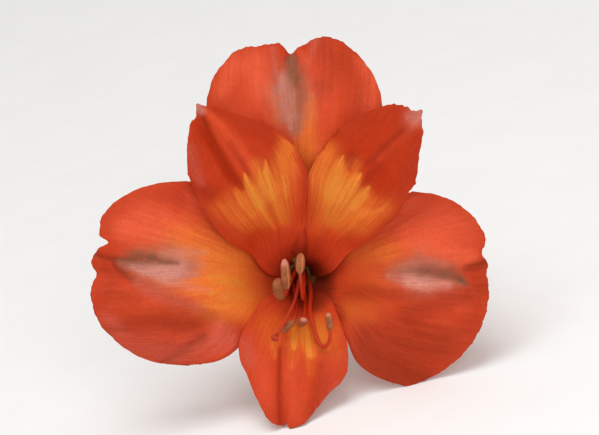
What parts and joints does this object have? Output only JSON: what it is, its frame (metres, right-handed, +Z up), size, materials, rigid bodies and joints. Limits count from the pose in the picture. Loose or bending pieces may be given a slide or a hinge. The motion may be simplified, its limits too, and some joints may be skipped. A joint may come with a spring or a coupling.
{
  "type": "alstroemeria flower on a cut stem",
  "caption": "Single orange-red alstroemeria bloom lying on its side: broad notched outer tepals, narrow inner ones, curved stamens, ribbed green ovary and a short cut stem.",
  "frame": {"origin": "centre of the bounding box at the height of the surface that the flower lies on", "axes": "+Z up from the surface; the flower faces -Y and a little up, and its stem runs back towards +Y"},
  "size_m": [0.0792, 0.1206, 0.07],
  "materials": {
    "outer_tepal": "soft satin petal, salmon red with an orange-yellow base and a grey-pink midrib patch",
    "inner_tepal": "soft satin petal, scarlet with a streaked yellow flame below the middle",
    "bottom_tepal": "soft satin petal, salmon red with an orange base and a dark midrib groove",
    "stamens": "smooth satin red filaments with matt pinkish-brown anthers",
    "style": "smooth satin red",
    "ovary": "satin green, ribbed",
    "stem": "satin green"
  },
  "bodies": {
    "root": {"tepal_outer_top": "outer_tepal", "tepal_outer_left": "outer_tepal", "tepal_outer_right": "outer_tepal", "tepal_inner_left": "inner_tepal", "tepal_inner_right": "inner_tepal", "tepal_inner_bottom": "bottom_tepal", "stamens": "stamens", "style": "style", "ovary": "ovary", "stem": "stem"}
  },
  "joints": []
}
